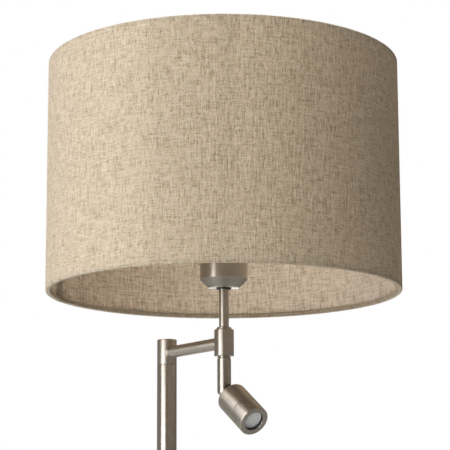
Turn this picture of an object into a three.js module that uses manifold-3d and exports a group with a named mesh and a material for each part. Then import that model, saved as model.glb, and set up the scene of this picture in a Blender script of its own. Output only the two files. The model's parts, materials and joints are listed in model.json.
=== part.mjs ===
// Floor lamp with a drum shade on an offset arm and a small reading spot under the arm.
// Millimetres, +Z up. The origin is on the floor, on the pole's axis. The arm runs along +X.
import * as THREE from 'three';
import { mergeVertices } from 'three/addons/utils/BufferGeometryUtils.js';
import Module from 'manifold-3d';

const wasm = await Module();
wasm.setup();

// ---------------------------------------------------------------- driving dimensions
const GAP = 0.3;                  // clearance between two pieces that touch
const TOTAL_HEIGHT = 1600;
const SHADE_RADIUS = 200;
const SHADE_HEIGHT = 264;
const ARM_LENGTH = 112;           // pole axis to stem axis
const ARM_DROP = 56;              // arm axis below the shade's lower edge
const ARM_RADIUS = 6.9;
const POLE_RADIUS = 11.4;
const POLE_WALL = 1.5;
const HEAD_RISE = 15.3;           // the pole head's top above the arm's axis
const HEAD_FALL = 14;             // and its foot below it
const COLLAR_RADIUS = 11;
const COLLAR_TOP_DROP = 38.5;     // all three below the shade's lower edge
const COLLAR_EDGE_DROP = 41.1;
const COLLAR_BOTTOM_DROP = 71.4;
const UPPER_STEM_RADIUS = 5.5;
const LOWER_STEM_RADIUS = 7.7;
const LOWER_STEM_DROP = 114.3;
const PIVOT_DROP = 107.7;
const SPOT_RADIUS = 17.2;
const SPOT_LENGTH = 51.5;
const SPOT_OFFSET = 16;           // tilt pivot to the spot's rear face
const SPOT_TILT = 36.5;           // degrees below the horizontal at rest
const CUP_RADIUS = 26.9;
const CUP_FOOT_RADIUS = 17.2;
const CUP_FOOT_RISE = 5.8;        // all three above the shade's lower edge
const CUP_CONE_RISE = 15.2;
const CUP_TOP_RISE = 64;
const BASE_RADIUS = 140;
const BASE_HEIGHT = 17.5;

// ---------------------------------------------------------------- derived places
const SHADE_BOTTOM = TOTAL_HEIGHT - SHADE_HEIGHT;
const ARM_Z = SHADE_BOTTOM - ARM_DROP;
const HEAD_BOTTOM = ARM_Z - HEAD_FALL;
const HEAD_TOP = ARM_Z + HEAD_RISE;
const COLLAR_TOP = SHADE_BOTTOM - COLLAR_TOP_DROP;
const COLLAR_EDGE = SHADE_BOTTOM - COLLAR_EDGE_DROP;
const COLLAR_BOTTOM = SHADE_BOTTOM - COLLAR_BOTTOM_DROP;
const LOWER_STEM_BOTTOM = SHADE_BOTTOM - LOWER_STEM_DROP;
const PIVOT_Z = SHADE_BOTTOM - PIVOT_DROP;
const CUP_FOOT = SHADE_BOTTOM + CUP_FOOT_RISE;
const CUP_CONE = SHADE_BOTTOM + CUP_CONE_RISE;
const CUP_TOP = SHADE_BOTTOM + CUP_TOP_RISE;
const POLE_BORE = POLE_RADIUS - POLE_WALL;
const POLE_TOP = HEAD_BOTTOM - GAP;
const POLE_SEAM = POLE_TOP / 2;   // where the two pole sections meet

// ---------------------------------------------------------------- finishes
const finish = (color, roughness, metalness) => ({ color, roughness, metalness });
const NICKEL = finish(0xa39c90, 0.32, 1);
const STEEL = finish(0x8d8a86, 0.45, 1);
const DARK_STEEL = finish(0x35322e, 0.5, 0.8);
const BRASS = finish(0xb08d4c, 0.35, 1);
const IRON = finish(0x3a3a3c, 0.8, 0.5);
const LINEN = finish(0xbfae93, 0.95, 0);
const FILM = finish(0xd8ceb9, 0.7, 0);
const RUBBER = finish(0x1c1c1c, 0.85, 0);
const BLACK_PLASTIC = finish(0x202124, 0.5, 0);
const WHITE_PLASTIC = finish(0xe9e7e1, 0.45, 0);
const FROSTED = finish(0xf4f0e6, 0.35, 0);
const WIRE = finish(0x7d6a4a, 0.6, 0);
const BOARD = finish(0xdfe4e2, 0.4, 0);
const PHOSPHOR = finish(0xe8d35a, 0.6, 0);

// ---------------------------------------------------------------- geometry helpers
const COARSE = 12;                // sides of a hidden round piece
const FINE = 24;                  // sides of a visible round piece
const LARGE = 48;                 // sides of the base and the shade

// A closed surface as a solid: shared vertices merged, slivers dropped, faces turned outwards.
function solid(geometry) {
  const bare = geometry.clone();
  bare.deleteAttribute('normal');
  bare.deleteAttribute('uv');
  const merged = mergeVertices(bare, 1e-4);
  const points = merged.attributes.position.array;
  const index = merged.index.array;
  const triangles = [];
  let volume = 0;
  const corner = (i) => new THREE.Vector3().fromArray(points, 3 * i);
  for (let i = 0; i < index.length; i += 3) {
    const [a, b, c] = [index[i], index[i + 1], index[i + 2]];
    if (a === b || b === c || c === a) continue;
    triangles.push([a, b, c]);
    volume += corner(a).dot(corner(b).cross(corner(c)));
  }
  const outward = volume > 0 ? triangles : triangles.map(([a, b, c]) => [a, c, b]);
  return new wasm.Manifold(new wasm.Mesh({
    numProp: 3,
    vertProperties: new Float32Array(points),
    triVerts: new Uint32Array(outward.flat()),
  }));
}

function surface(body) {
  const mesh = body.getMesh();
  const geometry = new THREE.BufferGeometry();
  const positions = new Float32Array(mesh.numVert * 3);
  for (let i = 0; i < mesh.numVert; i += 1) {
    for (let k = 0; k < 3; k += 1) {
      positions[3 * i + k] = mesh.vertProperties[mesh.numProp * i + k];
    }
  }
  geometry.setAttribute('position', new THREE.BufferAttribute(positions, 3));
  geometry.setIndex(Array.from(mesh.triVerts));
  return geometry;
}

// A profile of [radius, height] points turned about Z.
// It starts and ends on the axis, or, for a ring, is closed here.
function turned(profile, sides = COARSE) {
  const onAxis = profile[0][0] === 0 && profile.at(-1)[0] === 0;
  const closed = onAxis ? profile : [...profile, profile[0]];
  const points = closed.map(([r, z]) => new THREE.Vector2(r, z));
  const lathe = new THREE.LatheGeometry(points, sides);
  lathe.rotateX(Math.PI / 2);
  return solid(lathe);
}

const disc = (radius, bottom, top, sides) => (
  turned([[0, bottom], [radius, bottom], [radius, top], [0, top]], sides));
const ring = (inner, outer, bottom, top, sides) => (
  turned([[inner, bottom], [outer, bottom], [outer, top], [inner, top]], sides));

// A round fillet as profile points, from one angle to the other in degrees.
function arc(r, z, radius, from, to, steps = 4) {
  return Array.from({ length: steps + 1 }, (_, i) => {
    const angle = THREE.MathUtils.degToRad(from + ((to - from) * i) / steps);
    return [r + radius * Math.cos(angle), z + radius * Math.sin(angle)];
  });
}

function box(low, high) {
  const size = high.map((value, k) => value - low[k]);
  const middle = high.map((value, k) => (value + low[k]) / 2);
  const geometry = new THREE.BoxGeometry(...size);
  geometry.translate(...middle);
  return solid(geometry);
}

// A six-sided nut with a round hole. The radius is to the corners.
function nut(hole, radius, bottom, top) {
  return disc(radius, bottom, top, 6).subtract(disc(hole, bottom - 1, top + 1, COARSE));
}

// A round rod along X or Y, made from one along Z.
const alongX = (body) => body.rotate([0, 90, 0]);
const alongY = (body) => body.rotate([90, 0, 0]);

// A round bar of the given radius that follows a path.
function rod(path, radius, steps, sides = 8) {
  const section = new THREE.Shape();
  for (let i = 0; i < sides; i += 1) {
    const angle = (2 * Math.PI * i) / sides;
    const place = [radius * Math.cos(angle), radius * Math.sin(angle)];
    if (i === 0) section.moveTo(...place);
    else section.lineTo(...place);
  }
  return solid(new THREE.ExtrudeGeometry(section, { steps, extrudePath: path, bevelEnabled: false }));
}

function mesh(name, body, look) {
  const node = new THREE.Mesh(surface(body), new THREE.MeshStandardMaterial(look));
  node.name = name;
  return node;
}

// ---------------------------------------------------------------- base
function base() {
  const group = new THREE.Group();
  const pad = 3;
  const sheet = 1.2;
  const stud = 5;
  const pocket = 15;
  const pocketTop = 10.2;
  const weightTop = BASE_HEIGHT - sheet - GAP;
  const weightRadius = BASE_RADIUS - 8;
  const glandZ = 7.6;
  const edge = 4;                 // rounding of the cover's upper edge

  group.add(mesh('base_pad', disc(BASE_RADIUS - 6, 0, pad, LARGE), RUBBER));

  const channel = box([-weightRadius - 1, -6, pad], [-pocket + 2, 6, pocketTop + 1.4]);
  const weight = disc(weightRadius, pad + GAP, weightTop, LARGE)
    .subtract(disc(pocket, 0, pocketTop, COARSE))
    .subtract(disc(stud + GAP, 0, weightTop + 1, COARSE))
    .subtract(channel);
  group.add(mesh('base_weight', weight, IRON));

  const coverBottom = 0.8;
  const inside = BASE_RADIUS - sheet;
  const cover = turned([
    [inside, coverBottom],
    [BASE_RADIUS, coverBottom],
    ...arc(BASE_RADIUS - edge, BASE_HEIGHT - edge, edge, 0, 90, 3),
    [stud + GAP, BASE_HEIGHT],
    [stud + GAP, BASE_HEIGHT - sheet],
    ...arc(BASE_RADIUS - edge, BASE_HEIGHT - edge, edge - sheet, 90, 0, 2),
  ], LARGE);
  const glandHole = alongX(disc(4.5, -BASE_RADIUS - 4, -BASE_RADIUS + 6, COARSE));
  group.add(mesh('base_cover', cover.subtract(glandHole.translate([0, 0, glandZ])), NICKEL));

  const gland = turned([
    [3, -BASE_RADIUS - 3],
    [5, -BASE_RADIUS - 3],
    [6, -BASE_RADIUS - 2],
    [6, -BASE_RADIUS - GAP],
    [4.2, -BASE_RADIUS - GAP],
    [4.2, -inside + 2 * GAP],
    [5.6, -inside + 2 * GAP],
    [5.6, -inside + 2.5],
    [3, -inside + 2.5],
  ], COARSE);
  group.add(mesh('cord_gland', alongX(gland).translate([0, 0, glandZ]), RUBBER));

  const washerBottom = pocketTop - GAP - 1.5;
  const nutBottom = washerBottom - GAP - 4;
  const plugTop = BASE_HEIGHT + 26;
  group.add(mesh('base_washer', ring(stud + GAP, 12, washerBottom, washerBottom + 1.5), STEEL));
  group.add(mesh('base_nut', nut(stud + GAP, 9, nutBottom, nutBottom + 4), STEEL));
  group.add(mesh('base_stud', ring(3.2, stud, nutBottom - 0.5, plugTop + 4), STEEL));
  group.add(mesh('pole_foot_plug', ring(stud + GAP, POLE_BORE - GAP, BASE_HEIGHT + GAP, plugTop), STEEL));

  const ringTop = BASE_HEIGHT + 7;
  const ringOuter = POLE_RADIUS + 8;
  const footRing = turned([
    [POLE_RADIUS + GAP, BASE_HEIGHT + GAP],
    [ringOuter, BASE_HEIGHT + GAP],
    ...arc(ringOuter - 3, ringTop - 3, 3, 0, 90, 3),
    [POLE_RADIUS + GAP, ringTop],
  ], FINE);
  group.add(mesh('pole_foot_ring', footRing, NICKEL));
  return group;
}

// ---------------------------------------------------------------- pole
const SPIGOT_RADIUS = 5.6;        // hollow swivel pin between the pole and its head
const SPIGOT_BORE = 3.6;
const BUSH_TOP = POLE_TOP - 0.5;
const BUSH_BOTTOM = BUSH_TOP - 22;

function pole() {
  const group = new THREE.Group();
  const foot = BASE_HEIGHT + GAP;
  const coupler = 22;             // half the length of the sleeve inside the joint
  group.add(mesh('pole_lower', ring(POLE_BORE, POLE_RADIUS, foot, POLE_SEAM - GAP / 2, FINE), NICKEL));
  group.add(mesh('pole_upper', ring(POLE_BORE, POLE_RADIUS, POLE_SEAM + GAP / 2, POLE_TOP, FINE), NICKEL));
  group.add(mesh('pole_coupler',
    ring(6.5, POLE_BORE - GAP, POLE_SEAM - coupler, POLE_SEAM + coupler), STEEL));
  group.add(mesh('swivel_bush',
    ring(SPIGOT_RADIUS + GAP, POLE_BORE - GAP, BUSH_BOTTOM, BUSH_TOP, 24), BRASS));
  group.add(mesh('pole_wire', disc(2.4, 12, BUSH_BOTTOM - 4, 8), WIRE));
  return group;
}

// ---------------------------------------------------------------- pole head, arm and collar
const ARM_BORE = 5;
const ARM_START = 8;              // the arm's ends stand this far inside the head and the collar
const ARM_END = ARM_LENGTH - 8;
const STEM_HOLE = UPPER_STEM_RADIUS + GAP;
const STEM_FOOT = COLLAR_EDGE - 8;
const WIRE_RADIUS = 2.2;
const NIPPLE_RADIUS = 4;
const COLLAR_FLOOR = COLLAR_BOTTOM + 4;

function poleHead() {
  const bevel = 0.8;
  const body = turned([
    [0, HEAD_BOTTOM],
    [POLE_RADIUS, HEAD_BOTTOM],
    [POLE_RADIUS, HEAD_TOP - bevel],
    [POLE_RADIUS - bevel, HEAD_TOP],
    [0, HEAD_TOP],
  ], FINE);
  const bore = disc(SPIGOT_RADIUS + GAP, HEAD_BOTTOM - 1, HEAD_TOP - 6, 24);
  const seat = alongX(disc(ARM_RADIUS + GAP, ARM_START - GAP, POLE_RADIUS + 2, 24));
  const wireWay = alongX(disc(4, 0, ARM_START, COARSE));
  return body.subtract(bore)
    .subtract(seat.add(wireWay).translate([0, 0, ARM_Z]));
}

// A thin bead round the arm that hugs the head's round side.
function saddleRing() {
  const width = 1.2;
  const thickness = 0.5;
  const inner = ARM_RADIUS + GAP;
  const shell = ring(inner, inner + width, 0, POLE_RADIUS + 2, FINE);
  const skin = POLE_RADIUS + GAP;
  return alongX(shell).translate([0, 0, ARM_Z])
    .intersect(disc(skin + thickness, HEAD_BOTTOM, HEAD_TOP, FINE))
    .subtract(disc(skin, HEAD_BOTTOM, HEAD_TOP, FINE));
}

const CAP_RADIUS = 8.4;           // the collar's low cap above its shoulder
const CAP_ROUND = 1.4;

function collar() {
  const body = turned([
    [STEM_HOLE, COLLAR_FLOOR],
    [NIPPLE_RADIUS + GAP, COLLAR_FLOOR],
    [NIPPLE_RADIUS + GAP, COLLAR_BOTTOM],
    [COLLAR_RADIUS, COLLAR_BOTTOM],
    [COLLAR_RADIUS, COLLAR_EDGE - 1],
    [COLLAR_RADIUS - 1, COLLAR_EDGE],
    [CAP_RADIUS, COLLAR_EDGE],
    ...arc(CAP_RADIUS - CAP_ROUND, COLLAR_TOP - CAP_ROUND, CAP_ROUND, 0, 90, 3),
    [STEM_HOLE, COLLAR_TOP],
  ], FINE);
  const seat = alongX(disc(ARM_RADIUS + GAP, -COLLAR_RADIUS - 2, ARM_END - ARM_LENGTH + GAP, 24));
  const wireWay = alongX(disc(4, ARM_END - ARM_LENGTH, 0, COARSE));
  return body.subtract(seat.add(wireWay).translate([0, 0, ARM_Z]));
}

// The lead from the swivel, along the arm and up the stem to the lampholder.
function armWirePath(top) {
  const bend = 5;
  const path = new THREE.CurvePath();
  const at = (x, z) => new THREE.Vector3(x, 0, z);
  path.add(new THREE.LineCurve3(at(0, BUSH_BOTTOM - 3), at(0, ARM_Z - bend)));
  path.add(new THREE.QuadraticBezierCurve3(at(0, ARM_Z - bend), at(0, ARM_Z), at(bend, ARM_Z)));
  path.add(new THREE.LineCurve3(at(bend, ARM_Z), at(ARM_LENGTH - bend, ARM_Z)));
  path.add(new THREE.QuadraticBezierCurve3(
    at(ARM_LENGTH - bend, ARM_Z), at(ARM_LENGTH, ARM_Z), at(ARM_LENGTH, ARM_Z + bend)));
  path.add(new THREE.LineCurve3(at(ARM_LENGTH, ARM_Z + bend), at(ARM_LENGTH, top)));
  return path;
}

function arm() {
  const group = new THREE.Group();
  const tube = alongX(ring(ARM_BORE, ARM_RADIUS, ARM_START, ARM_END, FINE)).translate([0, 0, ARM_Z]);
  const spigotBottom = BUSH_BOTTOM - 7;
  const retainer = BUSH_BOTTOM - GAP;
  group.add(mesh('pole_head', poleHead(), NICKEL));
  group.add(mesh('swivel_spigot', ring(SPIGOT_BORE, SPIGOT_RADIUS, spigotBottom, ARM_Z - 7, 24), STEEL));
  group.add(mesh('swivel_nut', nut(SPIGOT_RADIUS + GAP, 9, retainer - 5, retainer), STEEL));
  group.add(mesh('arm_tube', tube, NICKEL));
  group.add(mesh('arm_saddle_ring', saddleRing(), NICKEL));
  group.add(mesh('stem_collar', collar().translate([ARM_LENGTH, 0, 0]), NICKEL));
  group.add(mesh('arm_wire', rod(armWirePath(CUP_FOOT + 9), WIRE_RADIUS, 36, 6), WIRE));
  return group;
}

// ---------------------------------------------------------------- upper stem, cup, lampholder and bulb
const HOLDER_RADIUS = 19.5;
const HOLDER_TOP = CUP_TOP + 16;
const HUB_BOTTOM = CUP_TOP + 6.3;
const HUB_THICKNESS = 2.2;
const HUB_RADIUS = 29;

function socketCup() {
  const wall = 1.2;
  return turned([
    [STEM_HOLE, CUP_FOOT],
    [CUP_FOOT_RADIUS, CUP_FOOT],
    [CUP_RADIUS, CUP_CONE],
    [CUP_RADIUS, CUP_TOP],
    [CUP_RADIUS - wall, CUP_TOP],
    [CUP_RADIUS - wall, CUP_CONE + 0.5],
    [CUP_FOOT_RADIUS - 0.5, CUP_FOOT + wall],
    [STEM_HOLE, CUP_FOOT + wall],
  ], FINE);
}

// An E27 lamp: a stepped screw cap and a pear-shaped envelope, open at the neck.
function envelope(bottom) {
  const neck = 12.6;
  const bulge = 30;
  const height = 80;
  const wall = 1;
  const centre = height - bulge;
  const outline = (offset) => [
    [neck - offset, bottom],
    [neck + 2 - offset, bottom + 14],
    [bulge * 0.8 - offset, bottom + 32],
    ...arc(0, bottom + centre, bulge - offset, 0, 80, 4),
  ];
  const outer = [...outline(0), [0, bottom + height]];
  const inner = [[0, bottom + height - wall], ...outline(wall).reverse()];
  return turned([...outer, ...inner], COARSE);
}

function upperStem() {
  const group = new THREE.Group();
  const stemTop = CUP_FOOT + 12;
  const holderBottom = CUP_FOOT + 7;
  const well = HOLDER_TOP - 36;
  const capBottom = well + 4;
  const capTop = HOLDER_TOP - 3;
  const clampBottom = HUB_BOTTOM + HUB_THICKNESS + GAP;

  group.add(mesh('upper_stem', ring(3.6, UPPER_STEM_RADIUS, STEM_FOOT, stemTop, FINE), NICKEL));
  group.add(mesh('cup_washer', ring(STEM_HOLE, 8.35, CUP_FOOT - GAP - 1.4, CUP_FOOT - GAP, 24), DARK_STEEL));
  group.add(mesh('socket_cup', socketCup(), NICKEL));
  group.add(mesh('cup_nut', nut(STEM_HOLE, 9.5, CUP_FOOT + 1.5, CUP_FOOT + 5.5), STEEL));

  const holder = turned([
    [STEM_HOLE, holderBottom],
    [12, holderBottom],
    [HOLDER_RADIUS, holderBottom + 8],
    [HOLDER_RADIUS, HOLDER_TOP],
    [15.2, HOLDER_TOP],
    [15.2, well],
    [STEM_HOLE, well],
  ], FINE);
  group.add(mesh('lampholder_body', holder, BLACK_PLASTIC));
  group.add(mesh('thread_sleeve', ring(13.9, 14.6, well + 6, HOLDER_TOP - 6, FINE), BRASS));
  group.add(mesh('centre_contact', ring(5.9, 9, well + GAP, well + 2), BRASS));
  group.add(mesh('shade_rest_ring',
    ring(HOLDER_RADIUS + GAP, 24, HUB_BOTTOM - 4, HUB_BOTTOM - GAP, FINE), BLACK_PLASTIC));
  group.add(mesh('shade_clamp_ring',
    ring(HOLDER_RADIUS + GAP, 24, clampBottom, clampBottom + 4.5, FINE), BLACK_PLASTIC));

  const cap = turned([
    [0, capBottom],
    [5, capBottom],
    [7, capBottom + 2],
    [13.2, capBottom + 5],
    [13.2, capTop],
    [0, capTop],
  ], 24);
  group.add(mesh('bulb_cap', cap, STEEL));
  group.add(mesh('bulb_globe', envelope(capTop + GAP), FROSTED));
  group.position.x = ARM_LENGTH;
  return group;
}

// ---------------------------------------------------------------- shade
const COVER_WALL = 1.2;
const LINER_WALL = 0.6;
const WIRE_RING = 2;              // radius of the ring's wire
const RING_RADIUS = SHADE_RADIUS - COVER_WALL - LINER_WALL - 2 * GAP - WIRE_RING - 0.2;
const RING_INSET = 3;             // a ring's centre to the shade's edge

function wireRing(z) {
  const section = arc(RING_RADIUS, z, WIRE_RING, 0, 270, 3);
  return turned(section, LARGE);
}

function topFrame() {
  const inner = HOLDER_RADIUS + GAP + 0.2;
  const hub = ring(inner, HUB_RADIUS, HUB_BOTTOM, HUB_BOTTOM + HUB_THICKNESS, FINE);
  const ringZ = TOTAL_HEIGHT - RING_INSET;
  let frame = hub.add(wireRing(ringZ));
  for (let i = 0; i < 3; i += 1) {
    const angle = THREE.MathUtils.degToRad(120 * i);
    const out = (r, z) => new THREE.Vector3(r * Math.cos(angle), r * Math.sin(angle), z);
    const spoke = new THREE.LineCurve3(
      out(HUB_RADIUS - 1.5, HUB_BOTTOM + HUB_THICKNESS / 2), out(RING_RADIUS, ringZ));
    frame = frame.add(rod(spoke, 1.8, 1));
  }
  return frame;
}

function shade() {
  const group = new THREE.Group();
  const linerOuter = SHADE_RADIUS - COVER_WALL - GAP;
  const linerInner = linerOuter - LINER_WALL;
  group.add(mesh('shade_cover',
    ring(SHADE_RADIUS - COVER_WALL, SHADE_RADIUS, SHADE_BOTTOM, TOTAL_HEIGHT, LARGE), LINEN));
  group.add(mesh('shade_liner',
    ring(linerInner, linerOuter, SHADE_BOTTOM + 0.5, TOTAL_HEIGHT - 0.5, LARGE), FILM));
  group.add(mesh('shade_top_frame', topFrame(), STEEL));
  group.add(mesh('shade_bottom_ring', wireRing(SHADE_BOTTOM + RING_INSET), STEEL));
  group.position.x = ARM_LENGTH;
  return group;
}

// ---------------------------------------------------------------- swivelling lower stem
const SLOT_WIDTH = 6.6;
const PIN_RADIUS = 1.6;
const SLOT_RISE = 5;              // the slot's top above the tilt pivot
const TONGUE_RADIUS = 4.2;
const NECK_TOP = COLLAR_BOTTOM - GAP;
const NECK_BOTTOM = NECK_TOP - 1.7;
const STEM_TOP = NECK_BOTTOM - GAP;

function lowerStemBody() {
  const round = 3.4;
  const slotTop = PIVOT_Z + SLOT_RISE;
  const body = turned([
    [0, LOWER_STEM_BOTTOM],
    ...arc(LOWER_STEM_RADIUS - round, LOWER_STEM_BOTTOM + round, round, 270, 360, 5),
    [LOWER_STEM_RADIUS, STEM_TOP - 0.5],
    [LOWER_STEM_RADIUS - 0.5, STEM_TOP],
    [0, STEM_TOP],
  ], FINE);
  const slot = box(
    [-LOWER_STEM_RADIUS - 1, -SLOT_WIDTH / 2, LOWER_STEM_BOTTOM - 1],
    [LOWER_STEM_RADIUS + 1, SLOT_WIDTH / 2, slotTop]);
  const pinHole = alongY(disc(PIN_RADIUS + 0.1, -LOWER_STEM_RADIUS - 1, LOWER_STEM_RADIUS + 1, 16));
  return body.subtract(slot)
    .subtract(pinHole.translate([0, 0, PIVOT_Z]))
    .subtract(disc(NIPPLE_RADIUS + GAP, STEM_TOP - 12, STEM_TOP + 1, COARSE))
    .subtract(disc(2.4, slotTop - 1, STEM_TOP, 12));
}

function lowerStem() {
  const group = new THREE.Group();
  const nippleTop = COLLAR_FLOOR + 4.5;
  const clipBottom = COLLAR_FLOOR + GAP;
  const pin = alongY(disc(PIN_RADIUS, -LOWER_STEM_RADIUS + 0.4, LOWER_STEM_RADIUS - 0.4, 16));
  group.add(mesh('neck_ring', ring(NIPPLE_RADIUS + GAP, 7.2, NECK_BOTTOM, NECK_TOP, FINE), NICKEL));
  group.add(mesh('swivel_nipple', ring(2.2, NIPPLE_RADIUS, STEM_TOP - 11.5, nippleTop), STEEL));
  group.add(mesh('swivel_clip', ring(NIPPLE_RADIUS + GAP, 5.4, clipBottom, clipBottom + 1.2), STEEL));
  group.add(mesh('lower_stem', lowerStemBody(), NICKEL));
  group.add(mesh('pivot_pin', pin.translate([0, 0, PIVOT_Z]), STEEL));
  group.add(mesh('stem_wire', disc(1.6, PIVOT_Z + SLOT_RISE + 1, nippleTop - 1, 8), WIRE));
  group.position.x = ARM_LENGTH;
  return group;
}

// ---------------------------------------------------------------- tilting spot
// Modelled along +Z from the tilt pivot at the origin, then turned to its rest direction.
const SPOT_REAR = SPOT_OFFSET;
const SPOT_FRONT = SPOT_REAR + SPOT_LENGTH;
const SPOT_SEAM = SPOT_REAR + 0.6 * SPOT_LENGTH;
const LENS_HOLE = 11.3;           // radius of the hole in the bezel's front
const RIM_DEPTH = 4.1;            // thickness of the bezel's front wall

function tongue() {
  const plate = 3;                // half its thickness
  const eye = alongY(disc(TONGUE_RADIUS, -plate, plate, 24));
  const blade = box([-TONGUE_RADIUS, -plate, 0], [TONGUE_RADIUS, plate, SPOT_REAR - 2.5]);
  const stub = disc(4.6, SPOT_REAR - 3.5, SPOT_REAR + 7, COARSE);
  const eyeHole = alongY(disc(PIN_RADIUS + GAP, -plate - 1, plate + 1, 16));
  return eye.add(blade).add(stub).subtract(eyeHole);
}

function spot() {
  const group = new THREE.Group();
  const wall = 2;
  const round = 2.6;
  const bore = SPOT_RADIUS - wall;
  const stubHole = 4.9;
  const rearWall = SPOT_REAR + 3;
  const nutBottom = rearWall + GAP;
  const lensFront = SPOT_FRONT - RIM_DEPTH - GAP;
  const lensBack = lensFront - 3;
  const boardFront = SPOT_SEAM + 4;
  const boardBack = boardFront - 1.6;
  const skirt = bore - GAP;       // the bezel's threaded skirt, inside the rear body
  const skirtBore = skirt - 1.5;

  group.add(mesh('spot_tongue', tongue(), DARK_STEEL));
  group.add(mesh('tongue_nut', nut(stubHole, 8.4, nutBottom, nutBottom + 3), STEEL));
  const rearBody = turned([
    [stubHole, SPOT_REAR],
    ...arc(SPOT_RADIUS - round, SPOT_REAR + round, round, 270, 360, 4),
    [SPOT_RADIUS, SPOT_SEAM - GAP / 2],
    [bore, SPOT_SEAM - GAP / 2],
    [bore, rearWall],
    [stubHole, rearWall],
  ], FINE);
  group.add(mesh('spot_body', rearBody, NICKEL));

  const bezel = turned([
    [skirtBore, SPOT_SEAM - 6],
    [skirt, SPOT_SEAM - 6],
    [skirt, SPOT_SEAM + GAP / 2],
    [SPOT_RADIUS, SPOT_SEAM + GAP / 2],
    [SPOT_RADIUS, SPOT_FRONT - 0.6],
    [SPOT_RADIUS - 0.6, SPOT_FRONT],
    [LENS_HOLE + 0.5, SPOT_FRONT],
    [LENS_HOLE, SPOT_FRONT - 0.6],
    [LENS_HOLE, SPOT_FRONT - RIM_DEPTH],
    [skirtBore, SPOT_FRONT - RIM_DEPTH],
  ], FINE);
  group.add(mesh('spot_bezel', bezel, NICKEL));
  const lensRadius = skirtBore - GAP;
  const lens = turned([
    [0, lensBack],
    [lensRadius, lensBack],
    [lensRadius, lensFront],
    [0, lensFront],
  ], FINE);
  group.add(mesh('spot_lens', lens, FROSTED));
  const holder = turned([
    [5, boardFront + GAP],
    [lensRadius, boardFront + GAP],
    [lensRadius, lensBack - GAP],
    [11.5, lensBack - GAP],
  ], FINE);
  group.add(mesh('lens_holder', holder, WHITE_PLASTIC));
  group.add(mesh('led_board', disc(lensRadius, boardBack, boardFront, 24), BOARD));
  group.add(mesh('led_chip', box([-3, -3, boardFront + GAP], [3, 3, boardFront + 1.2]), PHOSPHOR));
  const sinkTop = boardBack - GAP;
  const sinkBottom = nutBottom + 4.5;
  let sink = disc(lensRadius, sinkBottom, sinkTop, 24);
  const groove = 2.4;
  for (let i = -2; i <= 2; i += 1) {
    const x = i * 2 * groove;
    sink = sink.subtract(box([x - groove / 2, -20, sinkBottom - 1], [x + groove / 2, 20, sinkTop - 6]));
  }
  group.add(mesh('heat_sink', sink, finish(0x9a9c9e, 0.55, 1)));
  group.rotation.y = THREE.MathUtils.degToRad(90 + SPOT_TILT);
  group.position.set(ARM_LENGTH, 0, PIVOT_Z);
  return group;
}

// ---------------------------------------------------------------- assembly
const lamp = new THREE.Group();
lamp.add(base(), pole(), arm(), upperStem(), shade(), lowerStem(), spot());

export default lamp;
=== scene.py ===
"""Looks of a floor lamp: linen drum shade on an offset arm, with a small reading spot. Metres, +Z up."""
import json
import math

import bmesh
import bpy
from mathutils import Matrix, Vector


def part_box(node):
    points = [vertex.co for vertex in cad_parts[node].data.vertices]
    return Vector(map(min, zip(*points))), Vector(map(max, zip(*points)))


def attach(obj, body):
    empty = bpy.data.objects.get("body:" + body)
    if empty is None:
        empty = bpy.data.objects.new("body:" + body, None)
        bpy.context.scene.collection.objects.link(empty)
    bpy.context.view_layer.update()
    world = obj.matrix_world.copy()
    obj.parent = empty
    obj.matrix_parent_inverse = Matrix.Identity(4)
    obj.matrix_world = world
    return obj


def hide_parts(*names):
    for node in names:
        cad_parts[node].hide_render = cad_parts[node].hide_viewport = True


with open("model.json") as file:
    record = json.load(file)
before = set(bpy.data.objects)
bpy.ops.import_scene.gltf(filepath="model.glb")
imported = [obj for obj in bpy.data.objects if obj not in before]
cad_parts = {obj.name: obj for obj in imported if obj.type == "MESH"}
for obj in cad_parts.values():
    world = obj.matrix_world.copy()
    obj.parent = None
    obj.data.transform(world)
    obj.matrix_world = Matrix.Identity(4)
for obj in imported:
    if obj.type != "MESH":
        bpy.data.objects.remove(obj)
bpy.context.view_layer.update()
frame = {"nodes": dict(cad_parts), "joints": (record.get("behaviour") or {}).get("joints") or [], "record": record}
MM = 0.001


# ---------------------------------------------------------------- what the frame says
def centre(node):
    low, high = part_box(node)
    return (low + high) / 2


def radius(node):
    low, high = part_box(node)
    return (high.y - low.y) / 2


def joint(name):
    return next(j for j in frame["joints"] if j["name"] == name)


def along_spot(node):
    """Where a node starts and ends along the spot's axis, from the tilt pivot."""
    reach = [(vertex.co - PIVOT).dot(SPOT_AXIS) for vertex in frame["nodes"][node].data.vertices]
    return min(reach), max(reach)


STEM = Vector((centre("socket_cup").x, 0, 0))     # the upright axis of shade, stems and cup
SHADE_LOW, SHADE_HIGH = (corner.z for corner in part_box("shade_cover"))
SHADE_RADIUS = radius("shade_cover")
LINER_RADIUS = radius("shade_liner")
WIRE = 2 * MM                                     # radius of the wire of the shade's two rings
RING_RADIUS = radius("shade_bottom_ring") - WIRE
RING_INSET = WIRE + MM                            # from the shade's edge to the middle of the wire
ARM_Z = centre("arm_tube").z
POLE_RADIUS = radius("pole_upper")
PIVOT = Vector(joint("spot_tilt")["pos_m"])
SPOT_AXIS = (centre("spot_lens") - PIVOT).normalized()
SLOTS = {part["node"]: part["material_slot"] for part in frame["record"]["subparts"]}

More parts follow.
